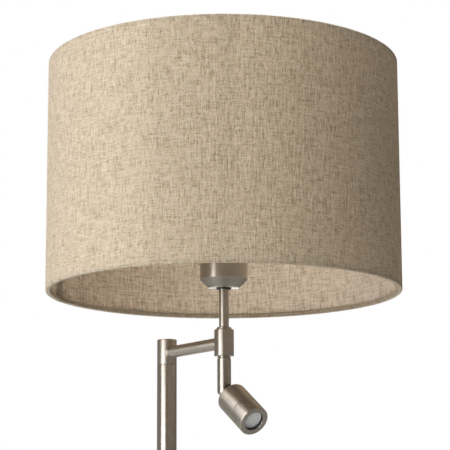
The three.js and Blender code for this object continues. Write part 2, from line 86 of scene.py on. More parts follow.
# ---------------------------------------------------------------- camera
VIEW_AZIMUTH = math.radians(53.4)                 # from the arm's side towards its end
VIEW_PITCH = math.radians(11.17)                  # looking up
VIEW_ROLL = 0.0041                                # radians
VIEW_DISTANCE = 1.9967                            # level distance to the stem's axis
VIEW_SIDE = 0.0016                                # to the right of the stem's axis
VIEW_DROP = 0.316                                 # below the shade's lower edge
LENS_MM = 143.7
SENSOR_MM = 36
TOWARDS_VIEW = Vector((math.sin(VIEW_AZIMUTH), -math.cos(VIEW_AZIMUTH), 0))
VIEW_RIGHT = Vector((math.cos(VIEW_AZIMUTH), math.sin(VIEW_AZIMUTH), 0))


def add_camera():
    data = bpy.data.cameras.new("camera")
    data.sensor_width = SENSOR_MM
    data.lens = LENS_MM
    data.clip_end = 50
    camera = bpy.data.objects.new("camera", data)
    bpy.context.scene.collection.objects.link(camera)
    place = STEM + VIEW_DISTANCE * TOWARDS_VIEW + VIEW_SIDE * VIEW_RIGHT
    place.z = SHADE_LOW - VIEW_DROP
    forward = -TOWARDS_VIEW * math.cos(VIEW_PITCH) + Vector((0, 0, math.sin(VIEW_PITCH)))
    level_up = TOWARDS_VIEW * math.sin(VIEW_PITCH) + Vector((0, 0, math.cos(VIEW_PITCH)))
    right = VIEW_RIGHT * math.cos(VIEW_ROLL) - level_up * math.sin(VIEW_ROLL)
    up = level_up * math.cos(VIEW_ROLL) + VIEW_RIGHT * math.sin(VIEW_ROLL)
    turn = Matrix((right, up, -forward)).transposed()
    camera.matrix_world = Matrix.Translation(place) @ turn.to_4x4()
    bpy.context.scene.camera = camera


# ---------------------------------------------------------------- studio
WHITE = (1, 1, 1)
WARM = (1.0, 0.88, 0.73)
ROOM_LIGHT = 0.12                                 # how bright the room is
ROOM_MIRRORED = 0.11                              # the same, in reflections
ROOM_GLOWS = [
    # degrees left of the camera, rise, full inside and gone outside so many degrees, colour, strength
    (180, -20, 9, 20, WHITE, 1.7),
    (116, 5, 48, 76, (1, 0.97, 0.93), 0.15),
    (-86, 5, 60, 84, (1, 0.92, 0.82), 0.08),
]
SOFT_LIGHTS = [
    # name, degrees left of the camera, distance from the stem, height, height it is aimed at,
    # its own width and height, watts, colour, what it lights
    ("key", 43, 2.2, 2.05, 2.05, 2.0, 2.1, 44, WHITE, "metal"),
    ("strip", 52, 1.8, 0.7, 1.1, 0.5, 1.0, 8, WHITE, "metal"),
    ("key_cloth", 43, 2.2, 1.65, 1.65, 2.0, 3.1, 52, (0.99, 1, 1), "cloth"),
    ("side", 72, 2.4, 1.5, 1.55, 1.6, 2.4, 31, (0.96, 1, 1.13), "cloth"),
    ("low", 16, 1.5, 0.45, 1.4, 1.6, 0.8, 3.5, (1, 0.99, 1), "cloth"),
    ("high", 0, 0.3, 3.0, 1.4, 1.5, 1.5, 15, (1, 0.99, 1), "cloth"),
    ("high_front", 30, 1.3, 3.2, 1.45, 1.5, 1.5, 16, (1, 0.97, 0.88), "cloth"),
    ("back", 165, 2.4, 1.6, 1.5, 2.2, 2.8, 60, (1, 0.98, 0.94), "cloth"),
]
FLOOR_SIZE = 7
FLOOR_COLOUR = (0.26, 0.26, 0.255, 1)
FLOOR_GLOW = (1, 0.99, 0.97, 1)                   # even light of its own, under the lights
FLOOR_GLOW_STRENGTH = 0.28


def add_area(name, place, aim, width, height, power, colour):
    data = bpy.data.lights.new(name, "AREA")
    data.shape = "RECTANGLE"
    data.size = width
    data.size_y = height
    data.energy = power
    data.color = colour
    light = bpy.data.objects.new(name, data)
    bpy.context.scene.collection.objects.link(light)
    light.location = place
    light.rotation_euler = (aim - place).to_track_quat("-Z", "Y").to_euler()
    return light


def around(degrees_left, distance, height):
    """A place round the stem, so many degrees to the left of the camera."""
    turn = Matrix.Rotation(-math.radians(degrees_left), 3, "Z")
    return STEM + distance * (turn @ TOWARDS_VIEW) + Vector((0, 0, height))


def add_world():
    """White to the camera. Elsewhere a dim warm room, with the room's glows in what the metal mirrors."""
    world = bpy.data.worlds.new("studio")
    bpy.context.scene.world = world
    world.use_nodes = True
    nodes = world.node_tree.nodes
    links = world.node_tree.links
    nodes.clear()

    def background(colour, strength):
        node = nodes.new("ShaderNodeBackground")
        node.inputs["Color"].default_value = (*colour, 1)
        node.inputs["Strength"].default_value = strength
        return node

    direction = nodes.new("ShaderNodeTexCoord").outputs["Generated"]

    def glow(degrees_left, rise, inner, outer, colour, strength):
        """A soft round patch of light, by its direction and its two radii in degrees."""
        turn = Matrix.Rotation(-math.radians(degrees_left), 3, "Z")
        upward = math.radians(rise)
        aim = (turn @ TOWARDS_VIEW) * math.cos(upward) + Vector((0, 0, math.sin(upward)))
        dot = nodes.new("ShaderNodeVectorMath")
        dot.operation = "DOT_PRODUCT"
        dot.inputs[1].default_value = aim
        links.new(direction, dot.inputs[0])
        fade = nodes.new("ShaderNodeMapRange")
        fade.interpolation_type = "SMOOTHSTEP"
        fade.inputs["From Min"].default_value = math.cos(math.radians(outer))
        fade.inputs["From Max"].default_value = math.cos(math.radians(inner))
        fade.inputs["To Max"].default_value = strength
        links.new(dot.outputs["Value"], fade.inputs["Value"])
        node = background(colour, 1)
        links.new(fade.outputs["Result"], node.inputs["Strength"])
        return node

    def join(kind, first, second, share=None):
        node = nodes.new(kind)
        places = (1, 2) if share else (0, 1)
        links.new(first.outputs[0], node.inputs[places[0]])
        links.new(second.outputs[0], node.inputs[places[1]])
        if share:
            links.new(share, node.inputs[0])
        return node

    mirrored = background(WARM, ROOM_MIRRORED)
    for patch in ROOM_GLOWS:
        mirrored = join("ShaderNodeAddShader", mirrored, glow(*patch))
    path = nodes.new("ShaderNodeLightPath")
    room = join("ShaderNodeMixShader", background(WARM, ROOM_LIGHT), mirrored, path.outputs["Is Glossy Ray"])
    seen = join("ShaderNodeMixShader", room, background(WHITE, 1), path.outputs["Is Camera Ray"])
    output = nodes.new("ShaderNodeOutputWorld")
    links.new(seen.outputs[0], output.inputs["Surface"])


def add_studio():
    scene = bpy.context.scene
    scene.view_settings.view_transform = "Standard"
    scene.view_settings.look = "None"
    add_world()
    for name, degrees_left, distance, height, aim_height, wide, tall, power, colour, lights in SOFT_LIGHTS:
        aim = STEM + Vector((0, 0, aim_height))
        light = add_area(name, around(degrees_left, distance, height), aim, wide, tall, power, colour)
        light.visible_glossy = lights == "metal"
        light.visible_diffuse = lights == "cloth"

    bpy.ops.mesh.primitive_plane_add(size=FLOOR_SIZE, location=(0, 0, 0))
    floor = bpy.context.object
    floor.name = "floor"
    material = bpy.data.materials.new("floor")
    material.use_nodes = True
    shader = material.node_tree.nodes["Principled BSDF"]
    shader.inputs["Base Color"].default_value = FLOOR_COLOUR
    shader.inputs["Roughness"].default_value = 0.7
    shader.inputs["Emission Color"].default_value = FLOOR_GLOW
    shader.inputs["Emission Strength"].default_value = FLOOR_GLOW_STRENGTH
    floor.data.materials.append(material)


# ---------------------------------------------------------------- shader helpers
class Tree:
    """A short way to write a material's nodes."""

    def __init__(self, name):
        self.material = bpy.data.materials.new(name)
        self.material.use_nodes = True
        self.nodes = self.material.node_tree.nodes
        self.links = self.material.node_tree.links
        self.shader = self.nodes["Principled BSDF"]

    def put(self, socket, value):
        if isinstance(value, bpy.types.NodeSocket):
            self.links.new(value, socket)
        else:
            socket.default_value = value

    def coordinates(self, kind, scale):
        source = self.nodes.new("ShaderNodeTexCoord")
        mapping = self.nodes.new("ShaderNodeMapping")
        mapping.inputs["Scale"].default_value = scale
        self.links.new(source.outputs[kind], mapping.inputs["Vector"])
        return mapping.outputs["Vector"]

    def noise(self, kind, frequency, detail):
        """Noise of so many waves a metre along each of the coordinates."""
        node = self.nodes.new("ShaderNodeTexNoise")
        self.links.new(self.coordinates(kind, frequency), node.inputs["Vector"])
        node.inputs["Scale"].default_value = 1
        node.inputs["Detail"].default_value = detail
        return node.outputs["Fac"]

    def math(self, operation, a, b=0.0, c=0.0):
        node = self.nodes.new("ShaderNodeMath")
        node.operation = operation
        for socket, value in zip(node.inputs, (a, b, c)):
            self.put(socket, value)
        return node.outputs[0]

    def remap(self, value, low, high, to_low=0.0, to_high=1.0):
        node = self.nodes.new("ShaderNodeMapRange")
        names = ("From Min", "From Max", "To Min", "To Max")
        for name, number in zip(names, (low, high, to_low, to_high)):
            node.inputs[name].default_value = number
        self.links.new(value, node.inputs["Value"])
        return node.outputs["Result"]

    def vary(self, noise, middle, spread):
        """A number that follows a noise, that far to either side of its middle."""
        return self.remap(noise, 0.3, 0.7, middle - spread, middle + spread)

    def ramp(self, value, stops):
        node = self.nodes.new("ShaderNodeValToRGB")
        elements = node.color_ramp.elements
        while len(elements) < len(stops):
            elements.new(0.5)
        for element, (place, colour) in zip(elements, stops):
            element.position = place
            element.color = (*colour, 1)
        self.links.new(value, node.inputs["Fac"])
        return node.outputs["Color"]

    def mix(self, share, a, b, blend="MIX"):
        node = self.nodes.new("ShaderNodeMix")
        node.data_type = "RGBA"
        node.blend_type = blend
        self.put(node.inputs["Factor"], share)
        sockets = [s for s in node.inputs if s.type == "RGBA"]
        for socket, value in zip(sockets, (a, b)):
            self.put(socket, value if isinstance(value, bpy.types.NodeSocket) else (*value, 1))
        return next(s for s in node.outputs if s.type == "RGBA")

    def bump(self, height, distance, strength=1.0):
        node = self.nodes.new("ShaderNodeBump")
        node.inputs["Strength"].default_value = strength
        node.inputs["Distance"].default_value = distance
        self.links.new(height, node.inputs["Height"])
        self.links.new(node.outputs["Normal"], self.shader.inputs["Normal"])

    def set(self, **values):
        for name, value in values.items():
            self.put(self.shader.inputs[name.replace("_", " ").title().replace("Ior", "IOR")], value)


# ---------------------------------------------------------------- materials
GLOW_SHARE = (0.15, 0.45)       # of the light comes through a single layer, at its thickest and thinnest
TURNED_IN_SHADE = (0.68, 0.65, 0.60)  # colour that paints shade on the cloth's turned-in edge, against a single layer
FOLD_EDGE_SHADOW = (0.72, 0.64, 0.55)   # the same, a painted shadow along the raw edge of the turned-in cloth
OUTSIDE_DOUBLE_SHADE = (0.80, 0.79, 0.77)     # the same, as painted shade on the outside where the edge lies behind it or the seam lies double
INSIDE_LAP_SHADE = (0.56, 0.53, 0.49)     # the same, as painted shade on the inside where its two ends overlap
FOLD_EDGE_SHADOW_WIDTH = 0.9 * MM        # how wide the painted shadow along the raw edge is
DOUBLE_BLOCKS = 0.7             # of the light that comes through, where the cloth lies double
CLOUD_TINT = (1.0, 0.965, 0.93)
FLECK = (0.30, 0.155, 0.075)
FLECK_COVERS = 0.75             # how much a fleck hides the cloth's own colour


def linen(name, dark, middle, light, length, height, seam, seam_shade, turned_in=0, hem=0, slubs=1.0):
    """Plain-weave linen: uneven warp and weft, slubs, and small brown flecks. UV is in metres of cloth.

    The cloth is length by height. It lies double, and lets less light through, within seam of its ends,
    where its colour is that much darker, by the painted shade it is given for the seam, and within hem
    of its edges, of which turned_in shows on the inside; these are darkened by painted shade too."""
    t = Tree(name)
    threads = [
        # waves a metre across and up the cloth, how much they show and how much they stand out
        ((900, 120), 0.72, 0.28),
        ((120, 900), 0.64, 0.2),
        ((380, 45), 0.52 * slubs, 0.6),
        ((45, 380), 0.42 * slubs, 0.45),
        ((190, 190), 0.15, 0.4),
        ((70, 70), 0.12, 0.6),
        ((1000, 1000), 0.95, 0.08),
    ]
    tone = 0.5
    relief = 0.0
    for across_up, shows, stands_out in threads:
        value = t.math("SUBTRACT", t.noise("UV", (*across_up, 1), 2), 0.5)
        tone = t.math("MULTIPLY_ADD", value, shows, tone)
        relief = t.math("MULTIPLY_ADD", value, stands_out, relief)
    cloud = t.noise("UV", (130, 130, 1), 2)
    cloth = t.ramp(tone, [(0.2, dark), (0.5, middle), (0.8, light)])
    cloth = t.mix(t.remap(cloud, 0.35, 0.65), t.mix(1.0, cloth, CLOUD_TINT, "MULTIPLY"), cloth)
    fleck = t.noise("UV", (420, 210, 1), 1)
    fleck = t.math("MULTIPLY", t.remap(fleck, 0.65, 0.73), t.remap(cloud, 0.42, 0.58))
    cloth = t.mix(t.math("MULTIPLY", fleck, FLECK_COVERS), cloth, FLECK)

    place = t.nodes.new("ShaderNodeSeparateXYZ")
    t.links.new(t.coordinates("UV", (1, 1, 1)), place.inputs[0])

    def near_ends(value, size, band, fade=0.3 * MM):
        """One within band of either end, none elsewhere."""
        first = t.remap(value, band, band + fade, 1, 0)
        return t.math("MAXIMUM", first, t.remap(value, size - band, size - band - fade, 1, 0))

    def darkened(colour, share, tone):
        return t.mix(share, colour, t.mix(1.0, colour, tone, "MULTIPLY"))

    # Painted shade: the colour is darkened where the cloth lies double, besides the light that the double layer
    # blocks below.
    double = near_ends(place.outputs[0], length, seam)
    colour = darkened(cloth, double, seam_shade)
    if hem:
        # Painted shade on the outside where the hem lies behind it and on the turned-in edge, and a painted shadow
        # along its raw edge.
        backed = near_ends(place.outputs[1], height, hem, fade=3 * MM)
        colour = darkened(colour, backed, OUTSIDE_DOUBLE_SHADE)
        colour = darkened(colour, near_ends(place.outputs[1], height, turned_in), TURNED_IN_SHADE)
        colour = darkened(colour, near_ends(place.outputs[1], height, FOLD_EDGE_SHADOW_WIDTH), FOLD_EDGE_SHADOW)
        double = t.math("MAXIMUM", double, backed)

    t.set(base_color=colour, roughness=0.93, sheen_weight=0.15, sheen_roughness=0.5, specular_ior_level=0.15)
    t.bump(relief, 2.2 * MM)
    glow = t.nodes.new("ShaderNodeBsdfTranslucent")
    t.links.new(colour, glow.inputs["Color"])
    blend = t.nodes.new("ShaderNodeMixShader")
    thin = t.remap(tone, 0.3, 0.7, *GLOW_SHARE)
    t.links.new(t.math("MULTIPLY", thin, t.math("MULTIPLY_ADD", double, -DOUBLE_BLOCKS, 1)), blend.inputs[0])
    t.links.new(t.shader.outputs[0], blend.inputs[1])
    t.links.new(glow.outputs[0], blend.inputs[2])
    t.links.new(blend.outputs[0], t.nodes["Material Output"].inputs["Surface"])
    return t.material


def shades(colour, darker, lighter):
    """The two ends that a colour varies between."""
    return [c * darker for c in colour], [min(1, c * lighter) for c in colour]


def brushed(name, colour, roughness=0.36, along="Z", anisotropy=0.9):
    """Satin plate with a fine grain round the axis, so that reflections draw out along it."""
    t = Tree(name)
    fine = {"Z": (60, 60, 5200), "X": (5200, 60, 60)}[along]
    broad = {"Z": (40, 40, 600), "X": (600, 40, 40)}[along]
    scratch = t.noise("Object", fine, 2)
    wear = t.noise("Object", broad, 3)
    smudge = t.noise("Object", (35, 35, 35), 4)
    rough = t.math("ADD", t.vary(scratch, roughness, 0.05), t.remap(smudge, 0.4, 0.75, 0, 0.05))
    tangent = t.nodes.new("ShaderNodeTangent")
    tangent.direction_type = "RADIAL"
    tangent.axis = along
    tint = t.mix(t.remap(wear, 0.3, 0.7), *shades(colour, 0.93, 1.05))
    t.set(base_color=tint, metallic=1.0, roughness=rough, anisotropic=anisotropy, anisotropic_rotation=0.25,
          tangent=tangent.outputs[0])
    t.bump(scratch, 0.02 * MM, 0.25)
    return t.material


def moulded(name, colour, roughness, metallic=0.0, grain=900, depth=0.06 * MM, wear=0.12):
    """Plain stuff with a fine grain: plastics, rubber, cast or machined metal."""
    t = Tree(name)
    spots = t.noise("Object", (grain, grain, grain), 3)
    patches = t.noise("Object", (30, 30, 30), 4)
    tint = t.mix(t.remap(patches, 0.3, 0.7), *shades(colour, 1 - wear, 1 + wear))
    t.set(base_color=tint, metallic=metallic, roughness=t.vary(spots, roughness, 0.06))
    t.bump(spots, depth, 0.4)
    return t.material


def frosted(name, colour, roughness, transmission):
    """Opal glass or acrylic."""
    t = Tree(name)
    spots = t.noise("Object", (600, 600, 600), 2)
    t.set(base_color=t.mix(spots, *shades(colour, 0.97, 1)), roughness=t.vary(spots, roughness, 0.05),
          transmission_weight=transmission, ior=1.46)
    t.bump(spots, 0.01 * MM, 0.2)
    return t.material


NICKEL = (0.60, 0.555, 0.49)
# painted shade: a darker copy of the nickel, for faces that look one way
SHADED_NICKEL = (0.42, 0.385, 0.33)
LOOKS = {
    # moulded takes a name, a colour, how rough and how metallic, and frosted how rough and how clear
    "satin_nickel": brushed("satin_nickel", NICKEL),
    "steel": moulded("machined_steel", (0.5, 0.49, 0.47), 0.36, 1.0),
    "dark_steel": moulded("blackened_steel", (0.05, 0.044, 0.038), 0.45, 0.6),
    "brass": moulded("machined_brass", (0.66, 0.5, 0.26), 0.34, 1.0),
    "cast_iron": moulded("cast_iron", (0.12, 0.12, 0.125), 0.75, 0.4, grain=400, depth=0.4 * MM),
    "rubber": moulded("rubber", (0.022, 0.022, 0.022), 0.8, grain=500, depth=0.1 * MM),
    "black_plastic": moulded("black_plastic", (0.02, 0.02, 0.022), 0.4),
    "white_plastic": moulded("white_plastic", (0.85, 0.84, 0.82), 0.4),
    "frosted_glass": frosted("opal_glass", (0.94, 0.93, 0.9), 0.3, 0.25),
    "lens": frosted("frosted_lens", (0.95, 0.96, 0.98), 0.16, 0.12),
    "wire": moulded("wire_sheath", (0.35, 0.27, 0.17), 0.5),
    "led_board": moulded("led_board", (0.8, 0.83, 0.82), 0.4),
    "phosphor": moulded("phosphor", (0.85, 0.72, 0.2), 0.6),
    "aluminium": moulded("turned_aluminium", (0.6, 0.61, 0.62), 0.4, 1.0),
}
NICKEL_ALONG_X = brushed("satin_nickel_arm", NICKEL, along="X")
NICKEL_HEAD = brushed("satin_nickel_head", NICKEL, 0.4, anisotropy=0.6)
NICKEL_SHADED = brushed("satin_nickel_shaded", SHADED_NICKEL, 0.4, anisotropy=0.6)


# ---------------------------------------------------------------- mesh helpers
SHARP_ANGLE = math.radians(32)
BEVEL_ANGLE = math.radians(40)
ON_AXIS = 1e-7


def ease(share):
    """From none to one, level at both ends."""
    return share * share * (3 - 2 * share)


def levels(low, high, steps=24):
    """Evenly spaced heights, with both ends."""
    return [low + (high - low) * k / steps for k in range(steps + 1)]


def add_object(name, mesh):
    thing = bpy.data.objects.new(name, mesh)
    bpy.context.scene.collection.objects.link(thing)
    return thing


def smooth(mesh):
    mesh.shade_smooth()
    mesh.set_sharp_from_angle(angle=SHARP_ANGLE)


def rounded(outline, steps=5):
    """Corners given as (radius, height, fillet) become arcs of that fillet."""
    path = []
    count = len(outline)
    for i, (r, z, fillet) in enumerate(outline):
        here = Vector((r, z))
        if fillet <= 0:
            path.append(here)
            continue
        before = (Vector(outline[i - 1][:2]) - here).normalized()
        after = (Vector(outline[(i + 1) % count][:2]) - here).normalized()
        half = before.angle(after) / 2
        reach = fillet / math.tan(half)
        start = here + before * reach
        end = here + after * reach
        middle = here + (before + after).normalized() * (fillet / math.sin(half))
        first = start - middle
        turn = first.angle_signed(end - middle)
        for k in range(steps + 1):
            angle = -turn * k / steps
            cosine, sine = math.cos(angle), math.sin(angle)
            arm = Vector((first.x * cosine - first.y * sine, first.x * sine + first.y * cosine))
            path.append(middle + arm)
    return path


def turned(name, outline, sides=96, steps=5):
    """A round piece about Z from (radius, height, fillet) corners, closed on itself or on the axis."""
    path = rounded(outline, steps)
    form = bmesh.new()
    angles = [2 * math.pi * k / sides for k in range(sides)]
    rings = []
    for r, z in path:
        if r < ON_AXIS:
            rings.append([form.verts.new((0, 0, z))] * sides)
        else:
            rings.append([form.verts.new((r * math.cos(a), r * math.sin(a), z)) for a in angles])
    closed_on_axis = path[0].x < ON_AXIS and path[-1].x < ON_AXIS
    pairs = list(zip(rings, rings[1:])) + ([] if closed_on_axis else [(rings[-1], rings[0])])
    for low, high in pairs:
        for k in range(sides):
            corners = [low[k], low[(k + 1) % sides], high[(k + 1) % sides], high[k]]
            distinct = list(dict.fromkeys(corners))
            if len(distinct) > 2:
                form.faces.new(distinct)
    bmesh.ops.recalc_face_normals(form, faces=form.faces)
    mesh = bpy.data.meshes.new(name)
    form.to_mesh(mesh)
    form.free()
    smooth(mesh)
    return add_object(name, mesh)


def column(name, r, low, high, sides=192):
    return turned(name, [(0, low, 0), (r, low, 0), (r, high, 0), (0, high, 0)], sides)


def rod_x(name, r, x_low, x_high, z, sides=64):
    """A rod laid along X at that height."""
    rod = column(name, r, x_low, x_high, sides)
    rod.rotation_euler = (0, math.pi / 2, 0)
    rod.location.z = z
    return rod


def block(name, low, high):
    form = bmesh.new()
    bmesh.ops.create_cube(form, size=1)
    size = [h - l for l, h in zip(low, high)]
    middle = [(h + l) / 2 for l, h in zip(low, high)]
    for vertex in form.verts:
        vertex.co = [m + s * c for m, s, c in zip(middle, size, vertex.co)]
    mesh = bpy.data.meshes.new(name)
    form.to_mesh(mesh)
    form.free()
    return add_object(name, mesh)


def apply_modifiers(thing):
    bpy.context.view_layer.update()
    result = bpy.data.meshes.new_from_object(thing.evaluated_get(bpy.context.evaluated_depsgraph_get()))
    thing.modifiers.clear()
    thing.data = result
    smooth(result)


def combine(thing, tool, operation="DIFFERENCE"):
    """Cuts or joins with another object, which is used up."""
    modifier = thing.modifiers.new("combine", "BOOLEAN")
    modifier.operation = operation
    modifier.solver = "EXACT"
    modifier.object = tool
    apply_modifiers(thing)
    bpy.data.objects.remove(tool)
    return thing


def round_edges(thing, width):
    """Rounds every sharp edge by a bevel."""
    modifier = thing.modifiers.new("round", "BEVEL")
    modifier.width = width
    modifier.segments = 3
    modifier.limit_method = "ANGLE"
    modifier.angle_limit = BEVEL_ANGLE
    apply_modifiers(thing)


def joined(thing, other):
    """One mesh of two objects' faces. The second object is used up."""
    form = bmesh.new()
    for part in (thing, other):
        mesh = part.data.copy()
        mesh.transform(part.matrix_basis if part is thing else part.matrix_world)
        form.from_mesh(mesh)
        bpy.data.meshes.remove(mesh)
    result = bpy.data.meshes.new(thing.name)
    form.to_mesh(result)
    form.free()
    thing.matrix_world = Matrix.Identity(4)
    bpy.data.objects.remove(other)
    return result


def finished(thing, node, body, material=None):
    """Puts the piece on its body in place of its CAD node."""
    thing.data.materials.clear()
    thing.data.materials.append(material or LOOKS[SLOTS[node]])
    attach(thing, body)
    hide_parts(node)


def shade_faces(thing, direction, least, most):
    """Gives a rougher nickel with painted shade, a darker copy of its colour, to the faces that look that way, by
    the cosine of their slant.
    """
    thing.data.materials.append(NICKEL_SHADED)
    for face in thing.data.polygons:
        if least < face.normal.dot(direction) < most:
            face.material_index = 1


def on_stem(thing):
    """Moves a piece made about the origin to the stem's axis."""
    thing.location = STEM
    return thing


def ring_outline(inner, outer, low, high, edge):
    """Corners of a plain ring, with its inner edges less rounded than its outer ones."""
    return [(inner, low, edge * 0.6), (outer, low, edge), (outer, high, edge), (inner, high, edge * 0.6)]


def thread_outline(crest, depth, low, pitch, count, fillet):
    """Corners up a screw thread, drawn as rings: crest and root in turn."""
    return [(crest - (k % 2) * depth, low + k * pitch / 2, fillet) for k in range(count)]


# ---------------------------------------------------------------- sizes of hidden fittings that pieces share
GAP = 0.3 * MM                                    # between pieces that pass through or over each other
TUBE_WALL = 1.5 * MM
NIPPLE_HOLE = 4.3 * MM                            # for the swivel's nipple: collar, neck ring and lower stem
LEAD_HOLE = 5.8 * MM                              # inside the collar and the lampholder's foot
PIN_RADIUS = 1.6 * MM


# ---------------------------------------------------------------- base and pole
def build_base():
    low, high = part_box("base_cover")
    base_radius = radius("base_cover")
    sheet = 1.2 * MM
    hole = 5.3 * MM
    cover = turned("base_cover_fine", [
        (base_radius - sheet, low.z, 0),
        (base_radius, low.z, 0.4 * MM),
        (base_radius, high.z, 4 * MM),
        (hole, high.z, 0.3 * MM),
        (hole, high.z - sheet, 0),
        (base_radius - sheet, high.z - sheet, 2.8 * MM),
    ], 192, 8)
    gland_z = centre("cord_gland").z
    cord_hole = 4.5 * MM
    cutter = rod_x("cutter", cord_hole, -base_radius - 5 * MM, -base_radius + 6 * MM, gland_z, 32)
    finished(combine(cover, cutter), "base_cover", "stand")

    low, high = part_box("base_pad")
    outer = radius("base_pad")
    pad = turned("base_pad_fine", [
        (0, low.z, 0), (outer, low.z, 0.6 * MM), (outer, high.z, 0.4 * MM), (0, high.z, 0)], 160)
    finished(pad, "base_pad", "stand")

    low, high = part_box("cord_gland")
    bore = 3 * MM
    neck = 4.2 * MM
    flange = 5.9 * MM
    flange_end = -base_radius - GAP
    barb = 5.6 * MM
    barb_end = high.x - 2 * MM
    gland = turned("cord_gland_fine", [
        (bore, low.x, 0.6 * MM), (flange, low.x, 1.2 * MM), (flange, flange_end, 0.2 * MM),
        (neck, flange_end, 0), (neck, barb_end, 0),
        (barb, barb_end, 0.3 * MM), (barb, high.x, 0.3 * MM), (bore, high.x, 0.3 * MM)], 48)
    gland.rotation_euler = (0, math.pi / 2, 0)
    gland.location.z = gland_z
    finished(gland, "cord_gland", "stand")

    low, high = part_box("pole_foot_ring")
    inner = POLE_RADIUS + GAP
    outer = radius("pole_foot_ring")
    foot_ring = turned("pole_foot_ring_fine", [
        (inner, low.z, 0), (outer, low.z, 0.3 * MM),
        (outer, high.z, 3 * MM), (inner, high.z, 0.4 * MM)], 96, 8)
    finished(foot_ring, "pole_foot_ring", "stand")


def build_pole():
    bore = POLE_RADIUS - TUBE_WALL
    for node in ("pole_lower", "pole_upper"):
        low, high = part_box(node)
        tube = turned(node + "_fine", ring_outline(bore, POLE_RADIUS, low.z, high.z, 0.25 * MM), 128, 3)
        finished(tube, node, "stand")


# ---------------------------------------------------------------- head, arm and collar
def build_arm():
    low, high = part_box("pole_head")
    arm_low, arm_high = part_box("arm_tube")
    arm_radius = radius("arm_tube")
    bore = 5.9 * MM
    bore_top = high.z - 6 * MM
    head = turned("pole_head_fine", [
        (bore, low.z, 0.2 * MM), (POLE_RADIUS, low.z, 0.3 * MM), (POLE_RADIUS, high.z, 0.7 * MM),
        (0, high.z, 0), (0, bore_top, 0), (bore, bore_top, 0)], 128)
    seat = rod_x("cutter", arm_radius + GAP, arm_low.x - GAP, POLE_RADIUS + 3 * MM, ARM_Z)
    finished(combine(head, seat), "pole_head", "arm", NICKEL_HEAD)

    along_arm = Matrix.Translation((0, 0, ARM_Z)) @ Matrix.Rotation(math.pi / 2, 4, "Y")
    tube = turned("arm_tube_fine", ring_outline(
        arm_radius - TUBE_WALL, arm_radius, arm_low.x, arm_high.x, 0.2 * MM), 96)
    tube.data.transform(along_arm)
    finished(tube, "arm_tube", "arm", NICKEL_ALONG_X)

    fit = 0.05 * MM
    thickness = 0.8 * MM
    bead = turned("arm_saddle_ring_fine", ring_outline(
        arm_radius + fit, radius("arm_saddle_ring"), 0, POLE_RADIUS + 2 * MM, 0), 128)
    bead.data.transform(along_arm)
    combine(bead, column("cutter", POLE_RADIUS + thickness, low.z, high.z), "INTERSECT")
    combine(bead, column("cutter", POLE_RADIUS + fit, low.z, high.z))
    round_edges(bead, 0.3 * MM)
    finished(bead, "arm_saddle_ring", "arm", NICKEL_ALONG_X)

    low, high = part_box("stem_collar")
    outer = radius("stem_collar")
    shoulder = high.z - 2.6 * MM
    cap = 8.4 * MM
    floor = low.z + 4 * MM
    collar = turned("stem_collar_fine", [
        (LEAD_HOLE, floor, 0), (NIPPLE_HOLE, floor, 0), (NIPPLE_HOLE, low.z, 0), (outer, low.z, 0.25 * MM),
        (outer, shoulder, 1.2 * MM), (cap, shoulder, 0.3 * MM), (cap, high.z, 1.4 * MM),
        (LEAD_HOLE, high.z, 0.2 * MM)], 128)
    cutter = rod_x("cutter", arm_radius + GAP, -outer - 3 * MM, arm_high.x + GAP - STEM.x, ARM_Z)
    finished(on_stem(combine(collar, cutter)), "stem_collar", "arm")


# ---------------------------------------------------------------- stem, cup, lampholder and bulb
def build_stem():
    low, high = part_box("upper_stem")
    stem_radius = radius("upper_stem")
    bore = 3.6 * MM
    stem = turned("upper_stem_fine", ring_outline(bore, stem_radius, low.z, high.z, 0.3 * MM), 96)
    finished(on_stem(stem), "upper_stem", "arm")

    hole = stem_radius + GAP
    low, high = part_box("cup_washer")
    washer = turned("cup_washer_fine", ring_outline(hole, radius("cup_washer"), low.z, high.z, 0.3 * MM), 96)
    finished(on_stem(washer), "cup_washer", "arm")

    low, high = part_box("socket_cup")
    outer = radius("socket_cup")
    wall = 1.2 * MM
    foot = 17.2 * MM
    cone_top = low.z + 9.4 * MM
    cup = turned("socket_cup_fine", [
        (hole, low.z, 0.2 * MM), (foot, low.z, 0.5 * MM), (outer, cone_top, 0.5 * MM),
        (outer, high.z, 0.5 * MM), (outer - wall, high.z, 0.4 * MM), (outer - wall, cone_top + 0.5 * MM, 0),
        (foot - 0.5 * MM, low.z + wall, 0), (hole, low.z + wall, 0)], 160)
    finished(on_stem(cup), "socket_cup", "arm")
    # painted shade on the cup's cone
    shade_faces(cup, Vector((0, 0, -1)), 0.5, 0.9)


def build_lampholder():
    ring_bore = 19.8 * MM
    notches = 24
    notch_half_width = 0.8 * MM
    notch_half_depth = 1 * MM
    for node in ("shade_rest_ring", "shade_clamp_ring"):
        low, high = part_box(node)
        outer = radius(node)
        band = turned(node + "_fine", ring_outline(ring_bore, outer, low.z, high.z, 0.6 * MM), 96)
        for k in range(notches):
            notch = block("cutter", (-notch_half_width, -notch_half_depth, low.z - MM),
                          (notch_half_width, notch_half_depth, high.z + MM))
            turn = Matrix.Rotation(2 * math.pi * k / notches, 4, "Z")
            notch.matrix_world = turn @ Matrix.Translation((0, outer + 0.4 * MM, 0))
            if k == 0:
                cutter = notch
            else:
                cutter.data = joined(cutter, notch)
        finished(on_stem(combine(band, cutter)), node, "arm")

    low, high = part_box("lampholder_body")
    outer = radius("lampholder_body")
    mouth = 15.2 * MM
    well = high.z - 36 * MM
    outline = [
        (LEAD_HOLE, low.z, 0), (12 * MM, low.z, 0.5 * MM), (outer, low.z + 8 * MM, 1 * MM),
        *thread_outline(outer, 0.7 * MM, high.z - 22 * MM, 2.5 * MM, 16, 0.2 * MM),
        (outer - 0.3 * MM, high.z, 0.8 * MM), (mouth, high.z, 0.8 * MM),
        (mouth, well, 0), (LEAD_HOLE, well, 0)]
    finished(on_stem(turned("lampholder_body_fine", outline, 96, 3)), "lampholder_body", "arm")


